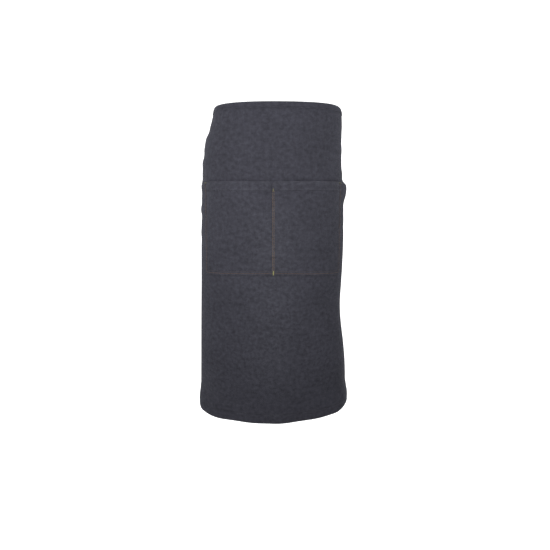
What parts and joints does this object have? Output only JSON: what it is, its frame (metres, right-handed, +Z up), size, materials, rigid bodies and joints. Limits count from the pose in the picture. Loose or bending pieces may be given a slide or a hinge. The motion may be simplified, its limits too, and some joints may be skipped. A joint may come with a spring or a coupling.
{
  "type": "welding waist apron",
  "caption": "Denim waist apron wrapped round the front of the body, with a folded waistband, a wide patch pocket stitched down its middle, and ties bowed at the back.",
  "frame": {"origin": "centre of the waist loop, level with the top edge of the waistband", "axes": "+Z up, the apron's front faces -Y, +X to the right of someone looking at its front"},
  "size_m": [0.3962, 0.2499, 0.7625],
  "materials": {
    "denim": "dark charcoal-navy twill denim, matt",
    "tie_tape": "folded and stitched strip of the same denim, matt",
    "tan_thread": "tan-orange topstitching thread, slightly glossy",
    "dark_thread": "near-black topstitching thread"
  },
  "bodies": {
    "waist": {"upper_skirt": "denim", "waistband": "denim", "waistband_stitch": "dark_thread", "left_tie": "tie_tape", "right_tie": "tie_tape", "left_tie_box_stitch": "dark_thread", "right_tie_box_stitch": "dark_thread", "bow_knot": "tie_tape", "left_bow_loop": "tie_tape", "right_bow_loop": "tie_tape", "left_hem_stitch_upper": "dark_thread", "right_hem_stitch_upper": "dark_thread"},
    "skirt": {"middle_skirt": "denim", "pocket_patch": "denim", "pocket_edge_seam": "tan_thread", "pocket_inner_seam": "tan_thread", "left_pocket_hem_stitch": "tan_thread", "right_pocket_hem_stitch": "tan_thread", "divider_stitch_left": "tan_thread", "divider_stitch_right": "tan_thread", "divider_top_bar_tack": "tan_thread", "divider_bottom_bar_tack": "tan_thread", "left_pocket_bar_tack": "tan_thread", "right_pocket_bar_tack": "tan_thread", "left_hem_stitch_middle": "dark_thread", "right_hem_stitch_middle": "dark_thread"},
    "lower_skirt_flap": {"lower_skirt": "denim", "bottom_hem_stitch": "dark_thread", "left_hem_stitch_lower": "dark_thread", "right_hem_stitch_lower": "dark_thread"},
    "left_tail": {"left_tie_tail": "tie_tape"},
    "right_tail": {"right_tie_tail": "tie_tape"}
  },
  "joints": [
    {"name": "skirt_swing", "type": "hinge", "parent": "waist", "child": "skirt", "pos_m": [0, -0.11086, -0.095], "axis": [-1, 0, 0], "range_deg": [0, 20], "stiffness_Nm_per_rad": 0.8, "springref_deg": -22.92},
    {"name": "hem_swing", "type": "hinge", "parent": "skirt", "child": "lower_skirt_flap", "pos_m": [0, -0.1186, -0.48], "axis": [-1, 0, 0], "range_deg": [0, 30], "stiffness_Nm_per_rad": 0.4, "springref_deg": -22.92},
    {"name": "left_tail_swing", "type": "hinge", "parent": "waist", "child": "left_tail", "pos_m": [-0.0125, 0.1105, -0.0269], "axis": [1, 0, 0], "range_deg": [-4, 60]},
    {"name": "right_tail_swing", "type": "hinge", "parent": "waist", "child": "right_tail", "pos_m": [0.0125, 0.1105, -0.0269], "axis": [1, 0, 0], "range_deg": [-4, 60]}
  ]
}
